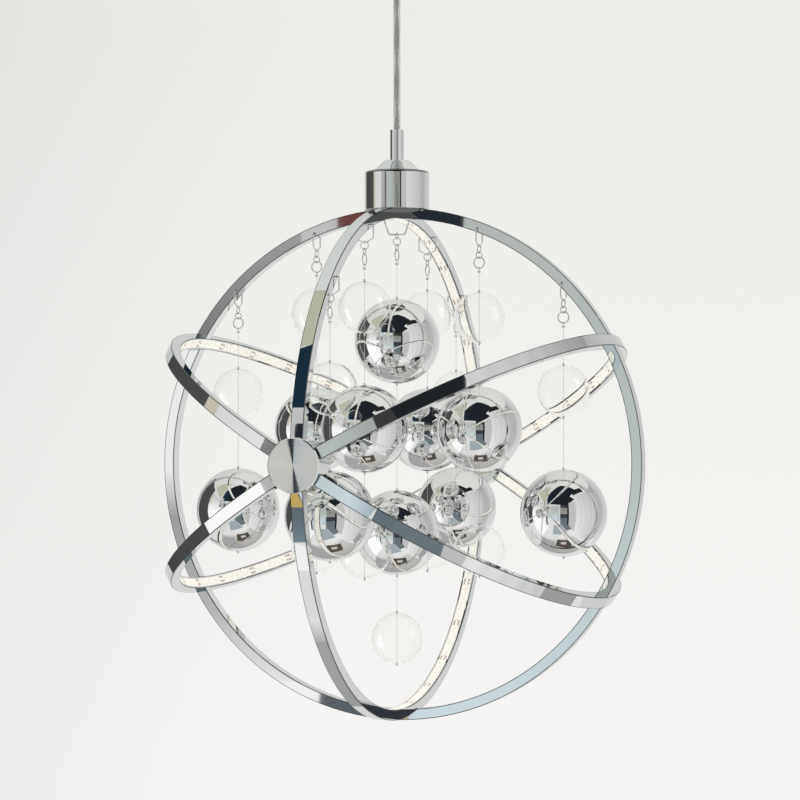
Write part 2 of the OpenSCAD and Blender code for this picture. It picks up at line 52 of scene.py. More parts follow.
# Angles of the half hoops about the hub axis, from +X towards +Z, as in the part's source
HALF_HOOPS = {
    "top": 90, "upper_right": 28.3, "lower_right": -31.7,
    "bottom": -90, "lower_left": -150, "upper_left": 150,
}
HOOP_W = 12 * MM
HOOP_T = 10 * MM
HOOP_BEVEL = 0.5 * MM
STRIP_DEPTH = 10.4 * MM
STRIP_FACE_R = SPHERE_R - STRIP_DEPTH
STRIP_END_TURN = 81.0
CHIP_PITCH = 50 * MM / 3

# The photo's view
IMAGE_SIDE = 800
SENSOR = 36.0
FOCAL_PIXELS = 2610.0
VIEW_TURN = 21.14
VIEW_RISE = 0.48
VIEW_REACH = 2.455
VIEW_END = 60
SPHERE_PIXEL = (397.0, 463.5)

scene = bpy.context.scene


# Small helpers for modelling

def deselect():
    if bpy.context.object and bpy.context.object.mode != "OBJECT":
        bpy.ops.object.mode_set(mode="OBJECT")
    bpy.ops.object.select_all(action="DESELECT")


def only(piece):
    deselect()
    piece.select_set(True)
    bpy.context.view_layer.objects.active = piece


def named(name):
    piece = bpy.context.object
    piece.name = name
    piece.data.name = name
    return piece


def apply_place(piece):
    only(piece)
    bpy.ops.object.transform_apply(location=True, rotation=True, scale=True)


def pick_faces(piece, wanted):
    """Leaves the piece in edit mode with only the wanted faces selected."""
    only(piece)
    bpy.ops.object.mode_set(mode="EDIT")
    bpy.ops.mesh.select_mode(type="FACE")
    mesh = bmesh.from_edit_mesh(piece.data)
    mesh.select_mode = {"FACE"}
    for part in (mesh.verts, mesh.edges):
        for item in part:
            item.select = False
    for face in mesh.faces:
        face.select_set(wanted(face))
    mesh.select_flush_mode()
    bmesh.update_edit_mesh(piece.data)


def done_editing():
    bpy.ops.object.mode_set(mode="OBJECT")


def paint_faces(piece, slot_index):
    """Gives the faces selected in edit mode a material slot."""
    piece.active_material_index = slot_index
    bpy.ops.object.material_slot_assign()


def join(pieces, name):
    deselect()
    for piece in pieces:
        piece.select_set(True)
    bpy.context.view_layer.objects.active = pieces[0]
    bpy.ops.object.join()
    return named(name)


def studio_direction(turn, rise):
    """Way out from the lamp, by degrees of turn from -Y towards +X and of rise above level."""
    a, e = math.radians(turn), math.radians(rise)
    return Vector((math.sin(a) * math.cos(e), -math.cos(a) * math.cos(e), math.sin(e)))


# Camera and cord

def photo_camera():
    """Camera that puts the sphere's middle on its pixel of the photo without a lens shift."""
    back = studio_direction(VIEW_TURN, VIEW_RISE)
    ahead = -back
    right = ahead.cross(Vector((0, 0, 1))).normalized()
    up = right.cross(ahead)
    off_x = (SPHERE_PIXEL[0] - IMAGE_SIDE / 2) / FOCAL_PIXELS
    off_y = (SPHERE_PIXEL[1] - IMAGE_SIDE / 2) / FOCAL_PIXELS
    aim = (ahead - right * off_x + up * off_y).normalized()
    bpy.ops.object.camera_add(location=SPHERE_MID + back * VIEW_REACH)
    camera = named("photo_camera")
    camera.rotation_euler = aim.to_track_quat("-Z", "Y").to_euler()
    camera.data.sensor_width = SENSOR
    camera.data.lens = FOCAL_PIXELS / IMAGE_SIDE * SENSOR
    camera.data.clip_end = VIEW_END
    scene.camera = camera


CORD_D = 6.5 * MM
SHEATH_WALL = 0.9 * MM
SHEATH_SIDES = 32
SHEATH_CUTS = 3
SHEATH_SMOOTH = math.radians(40)
CORE_D = 2.3 * MM
CORE_TURNS = 1.6
CORE_ROUND = 4
CORE_SMOOTH = math.radians(50)
CORD_STEPS = 28


def cord_points():
    """Middle line of the cord, from its grip down to the stem."""
    low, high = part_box("pendant_cord")
    drop = low.z - high.z
    return [Vector((0, 0, high.z + drop * i / CORD_STEPS)) for i in range(CORD_STEPS + 1)]


def cord_sheath(material):
    """Clear sheath: an open tube with a wall."""
    points = cord_points()
    length = points[0].z - points[-1].z
    deselect()
    bpy.ops.mesh.primitive_cylinder_add(
        vertices=SHEATH_SIDES, radius=CORD_D / 2, depth=length, end_fill_type="NOTHING",
        location=(points[0] + points[-1]) / 2)
    sheath = named("cord_sheath")
    apply_place(sheath)
    bpy.ops.object.mode_set(mode="EDIT")
    bpy.ops.mesh.select_all(action="SELECT")
    bpy.ops.mesh.subdivide(number_cuts=SHEATH_CUTS)
    done_editing()
    wall = sheath.modifiers.new("wall", "SOLIDIFY")
    wall.thickness = SHEATH_WALL
    wall.offset = -1
    bpy.ops.object.modifier_apply(modifier="wall")
    bpy.ops.object.shade_smooth_by_angle(angle=SHEATH_SMOOTH)
    sheath.data.materials.append(material)
    return sheath


def cord_core(name, radius, reach, start, material):
    """One conductor, wound about the cord's axis."""
    points = cord_points()
    length = points[0].z - points[-1].z
    deselect()
    bpy.ops.curve.primitive_bezier_curve_add(location=(0, 0, 0))
    core = named(name)
    core.data.splines.clear()
    spline = core.data.splines.new("POLY")
    spline.points.add(CORD_STEPS * 2)
    for i, point in enumerate(spline.points):
        part = i / (CORD_STEPS * 2)
        turn = start + 2 * math.pi * CORE_TURNS * part
        point.co = (reach * math.cos(turn), reach * math.sin(turn), points[0].z - length * part, 1)
    core.data.dimensions = "3D"
    core.data.bevel_depth = radius
    core.data.bevel_resolution = CORE_ROUND
    core.data.use_fill_caps = True
    bpy.ops.object.convert(target="MESH")
    core = named(name)
    bpy.ops.object.shade_smooth_by_angle(angle=CORE_SMOOTH)
    core.data.materials.clear()
    core.data.materials.append(material)
    return core


def pendant_cord(finish):
    """The sheath stands in for the CAD cord; the two conductors lie inside it."""
    sheath = cord_sheath(finish["cord_sheath"])
    reach = CORE_D / 2
    cores = [
        cord_core("cord_core_a", CORE_D / 2, reach, 0, finish["cord_core"]),
        cord_core("cord_core_b", CORE_D / 2, reach, math.pi, finish["cord_core"]),
    ]
    for piece in [sheath, *cores]:
        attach(piece, "cord")
    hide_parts("pendant_cord")


# Shared effects, as node groups

HAIR_FINENESS = 14
HAIR_SHARE = 0.35
NOISE_LOW, NOISE_HIGH = 0.32, 0.68
# Painted shade: the dark tone, and the width and depth of the dark lines on hoop edges
SHADE_TONE = (0.04, 0.042, 0.045, 1)
EDGE_LINE = 0.42 * MM
EDGE_DEPTH = 0.85
LINE_REACH = 0.5 * MM
LINE_COVER = 0.5


def new_group(name, inputs, outputs):
    group = bpy.data.node_groups.new(name, "ShaderNodeTree")
    for label, kind, value in inputs:
        group.interface.new_socket(label, in_out="INPUT", socket_type=kind).default_value = value
    for label, kind in outputs:
        group.interface.new_socket(label, in_out="OUTPUT", socket_type=kind)
    return group, group.nodes.new("NodeGroupInput"), group.nodes.new("NodeGroupOutput")


def add(tree, kind, **settings):
    node = tree.nodes.new(kind)
    for key, value in settings.items():
        setattr(node, key, value)
    return node


def link(tree, source, target):
    tree.links.new(source, target)


def handling_film():
    """Roughness of a surface that has been wiped: broad cloudy film and fine hairlines."""
    group, start, end = new_group(
        "handling_film",
        [("Scale", "NodeSocketFloat", 20.0), ("Low", "NodeSocketFloat", 0.03),
         ("High", "NodeSocketFloat", 0.08)],
        [("Roughness", "NodeSocketFloat")])
    place = add(group, "ShaderNodeTexCoord")
    cloud = add(group, "ShaderNodeTexNoise")
    cloud.inputs["Detail"].default_value = 4
    hair = add(group, "ShaderNodeTexNoise")
    hair.inputs["Detail"].default_value = 2
    finer = add(group, "ShaderNodeMath", operation="MULTIPLY")
    finer.inputs[1].default_value = HAIR_FINENESS
    mixed = add(group, "ShaderNodeMix", data_type="FLOAT")
    mixed.inputs["Factor"].default_value = HAIR_SHARE
    spread = add(group, "ShaderNodeMapRange")
    spread.inputs["From Min"].default_value = NOISE_LOW
    spread.inputs["From Max"].default_value = NOISE_HIGH
    link(group, place.outputs["Object"], cloud.inputs["Vector"])
    link(group, place.outputs["Object"], hair.inputs["Vector"])
    link(group, start.outputs["Scale"], cloud.inputs["Scale"])
    link(group, start.outputs["Scale"], finer.inputs[0])
    link(group, finer.outputs[0], hair.inputs["Scale"])
    link(group, cloud.outputs["Fac"], mixed.inputs["A"])
    link(group, hair.outputs["Fac"], mixed.inputs["B"])
    link(group, mixed.outputs["Result"], spread.inputs["Value"])
    link(group, start.outputs["Low"], spread.inputs["To Min"])
    link(group, start.outputs["High"], spread.inputs["To Max"])
    link(group, spread.outputs["Result"], end.inputs["Roughness"])
    return group


def soft_ripple():
    """Slight unevenness that makes reflections waver."""
    group, start, end = new_group(
        "soft_ripple",
        [("Scale", "NodeSocketFloat", 10.0), ("Height", "NodeSocketFloat", 0.00003)],
        [("Normal", "NodeSocketVector")])
    place = add(group, "ShaderNodeTexCoord")
    wave = add(group, "ShaderNodeTexNoise")
    wave.inputs["Detail"].default_value = 1
    bump = add(group, "ShaderNodeBump")
    bump.inputs["Strength"].default_value = 1
    link(group, place.outputs["Object"], wave.inputs["Vector"])
    link(group, start.outputs["Scale"], wave.inputs["Scale"])
    link(group, wave.outputs["Fac"], bump.inputs["Height"])
    link(group, start.outputs["Height"], bump.inputs["Distance"])
    link(group, bump.outputs["Normal"], end.inputs["Normal"])
    return group


def tone_drift():
    """Colour that drifts between two tones."""
    group, start, end = new_group(
        "tone_drift",
        [("Tone A", "NodeSocketColor", (0.8, 0.8, 0.8, 1)),
         ("Tone B", "NodeSocketColor", (0.7, 0.7, 0.7, 1)), ("Scale", "NodeSocketFloat", 10.0)],
        [("Color", "NodeSocketColor")])
    place = add(group, "ShaderNodeTexCoord")
    drift = add(group, "ShaderNodeTexNoise")
    drift.inputs["Detail"].default_value = 3
    mixed = add(group, "ShaderNodeMix", data_type="RGBA")
    link(group, place.outputs["Object"], drift.inputs["Vector"])
    link(group, start.outputs["Scale"], drift.inputs["Scale"])
    link(group, drift.outputs["Fac"], mixed.inputs["Factor"])
    link(group, start.outputs["Tone A"], mixed.inputs["A"])
    link(group, start.outputs["Tone B"], mixed.inputs["B"])
    link(group, mixed.outputs["Result"], end.inputs["Color"])
    return group


def edge_shade():
    """Paints shade as dark lines on the bevelled edges of a hoop whose middle plane has the given
    normal.
    """
    group, start, end = new_group(
        "edge_shade",
        [("Color", "NodeSocketColor", (0.8, 0.8, 0.8, 1)),
         ("Plane", "NodeSocketVector", (0, 1, 0)), ("Depth", "NodeSocketFloat", EDGE_DEPTH)],
        [("Color", "NodeSocketColor")])
    place = add(group, "ShaderNodeTexCoord")
    centred = add(group, "ShaderNodeVectorMath", operation="SUBTRACT")
    centred.inputs[1].default_value = SPHERE_MID
    aside = add(group, "ShaderNodeVectorMath", operation="DOT_PRODUCT")
    flat = add(group, "ShaderNodeVectorMath", operation="SCALE")
    in_plane = add(group, "ShaderNodeVectorMath", operation="SUBTRACT")
    reach = add(group, "ShaderNodeVectorMath", operation="LENGTH")
    off = add(group, "ShaderNodeMath", operation="ABSOLUTE")
    outer = add(group, "ShaderNodeMath", operation="ADD")
    inner = add(group, "ShaderNodeMath", operation="SUBTRACT")
    outer_past = add(group, "ShaderNodeMath", operation="SUBTRACT")
    outer_past.inputs[1].default_value = SPHERE_R + HOOP_W / 2 - HOOP_BEVEL
    inner_past = add(group, "ShaderNodeMath", operation="ADD")
    inner_past.inputs[1].default_value = SPHERE_R - HOOP_T - HOOP_W / 2 + HOOP_BEVEL
    nearest = add(group, "ShaderNodeMath", operation="MAXIMUM")
    # Painted shade: a thin dark line along each bevel, mixed towards SHADE_TONE
    painted_edge_shade = add(group, "ShaderNodeMapRange")
    painted_edge_shade.inputs["From Min"].default_value = -EDGE_LINE
    painted_edge_shade.inputs["From Max"].default_value = -EDGE_LINE / 3
    amount = add(group, "ShaderNodeMath", operation="MULTIPLY")
    mixed = add(group, "ShaderNodeMix", data_type="RGBA")
    mixed.inputs["B"].default_value = SHADE_TONE
    link(group, place.outputs["Object"], centred.inputs[0])
    link(group, centred.outputs["Vector"], aside.inputs[0])
    link(group, start.outputs["Plane"], aside.inputs[1])
    link(group, start.outputs["Plane"], flat.inputs[0])
    link(group, aside.outputs["Value"], flat.inputs["Scale"])
    link(group, centred.outputs["Vector"], in_plane.inputs[0])
    link(group, flat.outputs["Vector"], in_plane.inputs[1])
    link(group, in_plane.outputs["Vector"], reach.inputs[0])
    link(group, aside.outputs["Value"], off.inputs[0])
    link(group, off.outputs[0], outer.inputs[0])
    link(group, reach.outputs["Value"], outer.inputs[1])
    link(group, off.outputs[0], inner.inputs[0])
    link(group, reach.outputs["Value"], inner.inputs[1])
    link(group, outer.outputs[0], outer_past.inputs[0])
    link(group, inner.outputs[0], inner_past.inputs[0])
    link(group, outer_past.outputs[0], nearest.inputs[0])
    link(group, inner_past.outputs[0], nearest.inputs[1])
    link(group, nearest.outputs[0], painted_edge_shade.inputs["Value"])
    link(group, painted_edge_shade.outputs["Result"], amount.inputs[0])
    link(group, start.outputs["Depth"], amount.inputs[1])
    link(group, amount.outputs[0], mixed.inputs["Factor"])
    link(group, start.outputs["Color"], mixed.inputs["A"])
    link(group, mixed.outputs["Result"], end.inputs["Color"])
    return group


def band_shade():
    """Paints shade on what lies between two heights."""
    group, start, end = new_group(
        "band_shade",
        [("Color", "NodeSocketColor", (0.8, 0.8, 0.8, 1)), ("Low", "NodeSocketFloat", 0.0),
         ("High", "NodeSocketFloat", 0.0), ("Depth", "NodeSocketFloat", 0.8)],
        [("Color", "NodeSocketColor")])
    place = add(group, "ShaderNodeTexCoord")
    split = add(group, "ShaderNodeSeparateXYZ")
    over = add(group, "ShaderNodeMath", operation="GREATER_THAN")
    under = add(group, "ShaderNodeMath", operation="LESS_THAN")
    within = add(group, "ShaderNodeMath", operation="MULTIPLY")
    amount = add(group, "ShaderNodeMath", operation="MULTIPLY")
    mixed = add(group, "ShaderNodeMix", data_type="RGBA")
    mixed.inputs["B"].default_value = SHADE_TONE
    link(group, place.outputs["Object"], split.inputs[0])
    link(group, split.outputs["Z"], over.inputs[0])
    link(group, start.outputs["Low"], over.inputs[1])
    link(group, split.outputs["Z"], under.inputs[0])
    link(group, start.outputs["High"], under.inputs[1])
    link(group, over.outputs[0], within.inputs[0])
    link(group, under.outputs[0], within.inputs[1])
    link(group, within.outputs[0], amount.inputs[0])
    link(group, start.outputs["Depth"], amount.inputs[1])
    link(group, amount.outputs[0], mixed.inputs["Factor"])
    link(group, start.outputs["Color"], mixed.inputs["A"])
    link(group, mixed.outputs["Result"], end.inputs["Color"])
    return group


def thin_line():
    """Lets light through what lies no further from an upright axis than the line of a strand."""
    group, start, end = new_group(
        "thin_line",
        [("Axis", "NodeSocketVector", (0, 0, 0)), ("Cover", "NodeSocketFloat", LINE_COVER)],
        [("Alpha", "NodeSocketFloat")])
    place = add(group, "ShaderNodeTexCoord")
    centred = add(group, "ShaderNodeVectorMath", operation="SUBTRACT")
    flat = add(group, "ShaderNodeVectorMath", operation="MULTIPLY")
    flat.inputs[1].default_value = (1, 1, 0)
    reach = add(group, "ShaderNodeVectorMath", operation="LENGTH")
    thick = add(group, "ShaderNodeMath", operation="GREATER_THAN")
    thick.inputs[1].default_value = LINE_REACH
    cover = add(group, "ShaderNodeMath", operation="MAXIMUM")
    link(group, place.outputs["Object"], centred.inputs[0])
    link(group, start.outputs["Axis"], centred.inputs[1])
    link(group, centred.outputs["Vector"], flat.inputs[0])
    link(group, flat.outputs["Vector"], reach.inputs[0])
    link(group, reach.outputs["Value"], thick.inputs[0])
    link(group, thick.outputs[0], cover.inputs[0])
    link(group, start.outputs["Cover"], cover.inputs[1])
    link(group, cover.outputs[0], end.inputs["Alpha"])
    return group


effects = {
    "film": handling_film(), "ripple": soft_ripple(), "drift": tone_drift(), "edge": edge_shade(),
    "band": band_shade(), "thin": thin_line(),
}


def effect(tree, which, **values):
    """Adds a group to a material; an underscore stands for the space in a socket's name."""
    node = tree.nodes.new("ShaderNodeGroup")
    node.node_tree = effects[which]
    for key, value in values.items():
        node.inputs[key.replace("_", " ")].default_value = value
    return node


# Finishes

def finish_base(name, tones, tone_scale, film=None, ripple=None, edge=None, **settings):
    """A principled finish; tone, film, ripple and painted shade lines on the edges come from the
    groups.
    """
    material = bpy.data.materials.new(name)
    material.use_nodes = True
    tree = material.node_tree
    shader = tree.nodes["Principled BSDF"]
    # A faint painted glow brightens the light rows, which are not lit; it is seen but not searched
    # for, which keeps the glints free of grain
    if "Emission_Strength" in settings:
        material.cycles.emission_sampling = "NONE"
    for key, value in settings.items():
        shader.inputs[key.replace("_", " ")].default_value = value
    drift = effect(tree, "drift", Tone_A=(*tones[0], 1), Tone_B=(*tones[1], 1), Scale=tone_scale)
    link(tree, drift.outputs["Color"], shader.inputs["Base Color"])
    if edge:
        lined = effect(tree, "edge", Plane=edge, Depth=EDGE_DEPTH)
        link(tree, drift.outputs["Color"], lined.inputs["Color"])
        link(tree, lined.outputs["Color"], shader.inputs["Base Color"])
    if film:
        wiped = effect(tree, "film", Scale=film[0], Low=film[1], High=film[2])
        link(tree, wiped.outputs["Roughness"], shader.inputs["Roughness"])
    if ripple:
        uneven = effect(tree, "ripple", Scale=ripple[0], Height=ripple[1])
        link(tree, uneven.outputs["Normal"], shader.inputs["Normal"])
    return material


CAP_CONE = math.tan(math.radians(3))
CAP_RINGS = 4200
CAP_ROUGH_LOW, CAP_ROUGH_HIGH = 0.05, 0.08
CAP_RING_STRENGTH = 0.08
CAP_RING_DEPTH = 0.02 * MM
QUARTER_TURN = 0.25
# Painted shade and painted reflection bands on the cup: heights and depths of the foot and
# shoulder lines
CUP_FOOT, CUP_FOOT_SHADE = 1.0 * MM, 0.8
CUP_SHOULDER, CUP_SHOULDER_SHADE = 2.4 * MM, 0.75


def brushed_cap():
    """Face turned on a lathe: fine rings about the hub axis, falling a little towards the rim."""
    material = finish_base(
        "brushed_cap", ((0.82, 0.82, 0.805), (0.77, 0.775, 0.765)), 60,
        Metallic=1.0, Anisotropic=1.0)
    tree = material.node_tree
    shader = tree.nodes["Principled BSDF"]
    shader.inputs["Anisotropic Rotation"].default_value = QUARTER_TURN
    place = add(tree, "ShaderNodeTexCoord")
    centred = add(tree, "ShaderNodeMapping")
    centred.inputs["Location"].default_value = -SPHERE_MID
    flat = add(tree, "ShaderNodeVectorMath", operation="MULTIPLY")
    flat.inputs[1].default_value = (1, 0, 1)
    out = add(tree, "ShaderNodeVectorMath", operation="LENGTH")
    rings = add(tree, "ShaderNodeTexNoise", noise_dimensions="1D")
    rings.inputs["Scale"].default_value = CAP_RINGS
    rings.inputs["Detail"].default_value = 2
    rough = add(tree, "ShaderNodeMapRange")
    rough.inputs["To Min"].default_value = CAP_ROUGH_LOW
    rough.inputs["To Max"].default_value = CAP_ROUGH_HIGH
    fall = add(tree, "ShaderNodeMath", operation="MULTIPLY")
    fall.inputs[1].default_value = -CAP_CONE
    cone = add(tree, "ShaderNodeBump")
    cone.inputs["Distance"].default_value = 1.0
    bump = add(tree, "ShaderNodeBump")
    bump.inputs["Strength"].default_value = CAP_RING_STRENGTH
    bump.inputs["Distance"].default_value = CAP_RING_DEPTH
    about = add(tree, "ShaderNodeTangent", direction_type="RADIAL", axis="Y")
    link(tree, place.outputs["Object"], centred.inputs["Vector"])
    link(tree, centred.outputs["Vector"], flat.inputs[0])
    link(tree, flat.outputs["Vector"], out.inputs[0])
    link(tree, out.outputs["Value"], rings.inputs["W"])
    link(tree, rings.outputs["Fac"], rough.inputs["Value"])
    link(tree, rough.outputs["Result"], shader.inputs["Roughness"])
    link(tree, out.outputs["Value"], fall.inputs[0])
    link(tree, fall.outputs[0], cone.inputs["Height"])
    link(tree, cone.outputs["Normal"], bump.inputs["Normal"])
    link(tree, rings.outputs["Fac"], bump.inputs["Height"])
    link(tree, bump.outputs["Normal"], shader.inputs["Normal"])
    link(tree, about.outputs["Tangent"], shader.inputs["Tangent"])
    return material


def chrome(name, edge=None):
    """Polished chrome; edge is the normal of a hoop's middle plane, for the painted shade lines on
    its edges.
    """
    return finish_base(
        name, ((0.83, 0.845, 0.84), (0.79, 0.81, 0.805)), 9, film=(24, 0.008, 0.035),
        ripple=(16, 0.00003), edge=edge, Metallic=1.0, Specular_Tint=(0.80, 0.81, 0.81, 1))


def cup_chrome():
    """Chrome with painted shade on its underside and foot line, and a painted dark reflection line
    on the shoulder.
    """
    material = chrome("cup_chrome")
    tree = material.node_tree
    target = tree.nodes["Principled BSDF"].inputs["Base Color"]
    low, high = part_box("cup_body")
    # Painted shade on the foot, and a painted dark reflection on the shoulder
    for bottom, top, depth in (
            (low.z - MM, low.z + CUP_FOOT, CUP_FOOT_SHADE),
            (high.z - CUP_SHOULDER, high.z + MM, CUP_SHOULDER_SHADE)):
        band = effect(tree, "band", Low=bottom, High=top, Depth=depth)
        link(tree, target.links[0].from_socket, band.inputs["Color"])
        link(tree, band.outputs["Color"], target)
    return material


def strand_wire(name, node=None):
    """Bright wire; the line of a strand is thin enough to let some light past."""
    material = finish_base(
        name, ((0.80, 0.80, 0.79), (0.70, 0.70, 0.69)), 80, film=(120, 0.1, 0.24), Metallic=1.0)
    if node:
        low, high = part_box(node)
        tree = material.node_tree
        thin = effect(tree, "thin", Axis=(low + high) / 2, Cover=LINE_COVER)
        link(tree, thin.outputs["Alpha"], tree.nodes["Principled BSDF"].inputs["Alpha"])
    return material


def hoop_plane(angle):
    """Normal of the plane that a half hoop lies in."""
    a = math.radians(angle)
    return (-math.sin(a), 0, math.cos(a))


def make_finishes():
    """All finishes, by the names that finish_of gives."""
    finish = {
        "chrome": chrome("polished_chrome"),
        "equator_arcs": chrome("equator_chrome", (0, 1, 0)),
        "cup_body": cup_chrome(),
        "brushed_cap": brushed_cap(),
        "zinc_steel": finish_base(
            "zinc_steel", ((0.62, 0.63, 0.64), (0.45, 0.46, 0.48)), 120,
            film=(90, 0.28, 0.5), ripple=(260, 0.00003), Metallic=1.0),
        "wire": strand_wire("bright_wire"),
        "brass": finish_base(
            "turned_brass", ((0.75, 0.55, 0.25), (0.62, 0.43, 0.18)), 70,
            film=(90, 0.18, 0.35), Metallic=1.0),
        "mirror_glass": finish_base(
            "silvered_glass", ((0.86, 0.865, 0.86), (0.82, 0.825, 0.82)), 14,
            film=(18, 0.004, 0.02), ripple=(26, 0.00003), Metallic=1.0,
            Specular_Tint=(0.84, 0.85, 0.85, 1)),
        "clear_glass": finish_base(
            "blown_glass", ((0.995, 0.998, 0.995), (0.985, 0.99, 0.985)), 20,
            film=(20, 0.0, 0.004), Transmission_Weight=1.0, IOR=1.1,
            Coat_Weight=0.3, Coat_Roughness=0.22, Coat_IOR=1.2),
        # Painted glow: the strips carry a faint emission, though the light rows are not lit
        "led_silicone": finish_base(
            "milky_silicone", ((0.96, 0.94, 0.88), (0.93, 0.90, 0.83)), 45,
            film=(60, 0.3, 0.5), ripple=(120, 0.00002), Emission_Color=(1.0, 0.96, 0.87, 1),
            Emission_Strength=0.32),
        "cord_sheath": finish_base(
            "clear_sheath", ((0.93, 0.94, 0.92), (0.88, 0.90, 0.88)), 60,
            film=(70, 0.08, 0.2), ripple=(90, 0.00003), Transmission_Weight=0.9, IOR=1.49),
        "cord_core": finish_base(
            "tinned_braid", ((0.72, 0.72, 0.69), (0.5, 0.5, 0.47)), 900,
            film=(400, 0.25, 0.5), ripple=(1500, 0.00006), Metallic=0.9),
        "driver_case": finish_base(
            "driver_plastic", ((0.82, 0.82, 0.80), (0.77, 0.77, 0.75)), 30,
            film=(120, 0.38, 0.55), ripple=(900, 0.00002)),
        # Painted glow: the chips' lenses and cases carry a faint emission, though they are not lit
        "phosphor": finish_base(
            "chip_phosphor", ((0.93, 0.86, 0.66), (0.89, 0.80, 0.56)), 300,
            film=(300, 0.35, 0.55), Emission_Color=(1.0, 0.94, 0.78, 1), Emission_Strength=0.3),
        "chip_case": finish_base(
            "chip_case", ((0.95, 0.92, 0.85), (0.90, 0.87, 0.80)), 300,
            film=(300, 0.3, 0.5), Emission_Color=(1.0, 0.96, 0.88, 1), Emission_Strength=0.3),
        "solder": finish_base(
            "copper_pad", ((0.86, 0.70, 0.62), (0.76, 0.58, 0.50)), 500,
            film=(300, 0.3, 0.5), Metallic=0.2),
        "resistor": finish_base(
            "resistor_body", ((0.20, 0.15, 0.12), (0.13, 0.10, 0.08)), 500,
            film=(300, 0.35, 0.5)),
    }
    for name, angle in HALF_HOOPS.items():
        finish["meridian_" + name] = chrome("meridian_chrome_" + name, hoop_plane(angle))
    for name in nodes:
        if name.startswith("line_"):
            finish[name] = strand_wire("strand_" + name, name)
    return finish


# Light rows: the chips, solder pads and resistors of each strip

CHIP_SIZE = (3.6 * MM, 3.0 * MM, 0.7 * MM)
CHIP_PROUD = 0.16 * MM
CHIP_BEVEL = 0.2 * MM
LENS_RIM = 0.4 * MM
LENS_DEPTH = 0.1 * MM
PAD_SIZE = (3.2 * MM, 2.2 * MM, 0.3 * MM)
PAD_PROUD = 0.06 * MM
PAD_BEVEL = 0.12 * MM
PAD_GAP = 0.15 * MM
PAD_ASIDE = 2.2 * MM
RESISTOR_SIZE = (0.8 * MM, 1.3 * MM, 0.6 * MM)
RESISTOR_PLACE = (4.6 * MM, 0.6 * MM, 0)
CHIPS_TO_A_CUT = 3


def small_block(name, size, proud, bevel):
    """Bevelled block along +Z, its top standing proud of z = 0."""
    deselect()
    bpy.ops.mesh.primitive_cube_add(size=1, location=(0, 0, proud - size[2] / 2))
    block = named(name)
    block.scale = size
    apply_place(block)
    bpy.ops.object.mode_set(mode="EDIT")
    bpy.ops.mesh.select_all(action="SELECT")
    bpy.ops.mesh.bevel(offset=bevel, segments=1, affect="EDGES")
    done_editing()
    return block


def is_top(face):
    return face.normal.z > 0.9


def light_chip(finish):
    """White case with a sunk yellow lens."""
    chip = small_block("light_chip", CHIP_SIZE, CHIP_PROUD, CHIP_BEVEL)
    chip.data.materials.append(finish["chip_case"])
    chip.data.materials.append(finish["phosphor"])
    pick_faces(chip, is_top)
    bpy.ops.mesh.inset(thickness=LENS_RIM)
    paint_faces(chip, 1)
    bpy.ops.transform.translate(value=(0, 0, -LENS_DEPTH))
    done_editing()
    return chip


def solder_pads(finish):
    """A pair of pads on each side of a cut line, and the resistor beside them."""
    made = []
    for x in (-1, 1):
        for y in (-1, 1):
            pad = small_block("solder_pad", PAD_SIZE, PAD_PROUD, PAD_BEVEL)
            pad.data.materials.append(finish["solder"])
            pad.location = (x * (PAD_SIZE[0] / 2 + PAD_GAP), y * PAD_ASIDE, 0)
            apply_place(pad)
            made.append(pad)
    block = small_block("resistor", RESISTOR_SIZE, CHIP_PROUD, PAD_BEVEL)
    block.data.materials.append(finish["resistor"])
    block.location = RESISTOR_PLACE
    apply_place(block)
    return join([*made, block], "solder_pads")


def strip_place(angle, turn):
    """Frame on a strip's face: X along the strip, Z towards the sphere's middle."""
    a, t = math.radians(angle), math.radians(turn)
    outward = Vector((math.cos(a) * math.cos(t), math.sin(t), math.sin(a) * math.cos(t)))
    along = Vector((-math.cos(a) * math.sin(t), math.cos(t), -math.sin(a) * math.sin(t)))
    inward = -outward
    across = inward.cross(along)
    place = Matrix((along, across, inward)).transposed().to_4x4()
    place.translation = SPHERE_MID + outward * STRIP_FACE_R
    return place


def light_rows(finish):
    """One row for each half hoop: a chip at every step, pads and a resistor at every cut line."""
    chip = light_chip(finish)
    pads = solder_pads(finish)
    step = math.degrees(CHIP_PITCH / STRIP_FACE_R)
    count = int(2 * STRIP_END_TURN / step)
    first = -step * (count - 1) / 2
    for name, angle in HALF_HOOPS.items():
        row = []
        for i in range(count):
            for master, offset in ((chip, 0.0), (pads, 0.5)):
                if master is pads and (i + 1) % CHIPS_TO_A_CUT:
                    continue
                copy = master.copy()
                copy.data = master.data.copy()
                scene.collection.objects.link(copy)
                copy.data.transform(strip_place(angle, first + step * (i + offset)))
                row.append(copy)
        piece = join(row, "light_row_" + name)
        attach(piece, "lamp")
    for master in (chip, pads):
        bpy.data.objects.remove(master)


# Finishes of the CAD nodes

def finish_of(node):
    """Name of a node's finish; hoops, cup and strand lines have one of their own."""
    if node.startswith(("meridian_", "line_")) or node in ("equator_arcs", "cup_body"):
        return node
    for prefix, finish in (
            ("mirror_", "mirror_glass"), ("clear_", "clear_glass"), ("hook_", "wire")):
        if node.startswith(prefix):
            return finish
    return {
        "front_cap": "brushed_cap", "rear_cap": "brushed_cap", "ceiling_bracket": "zinc_steel",
        "arc_pins": "zinc_steel", "swivel_stud": "brass", "led_driver": "driver_case",
        "led_strips": "led_silicone", "pendant_cord": "cord_sheath", "centre_hanger": "wire",
    }.get(node, "chrome")


def dress_nodes(finish):
    for name, node in nodes.items():
        node.data.materials.clear()
        node.data.materials.append(finish[finish_of(name)])


# Studio

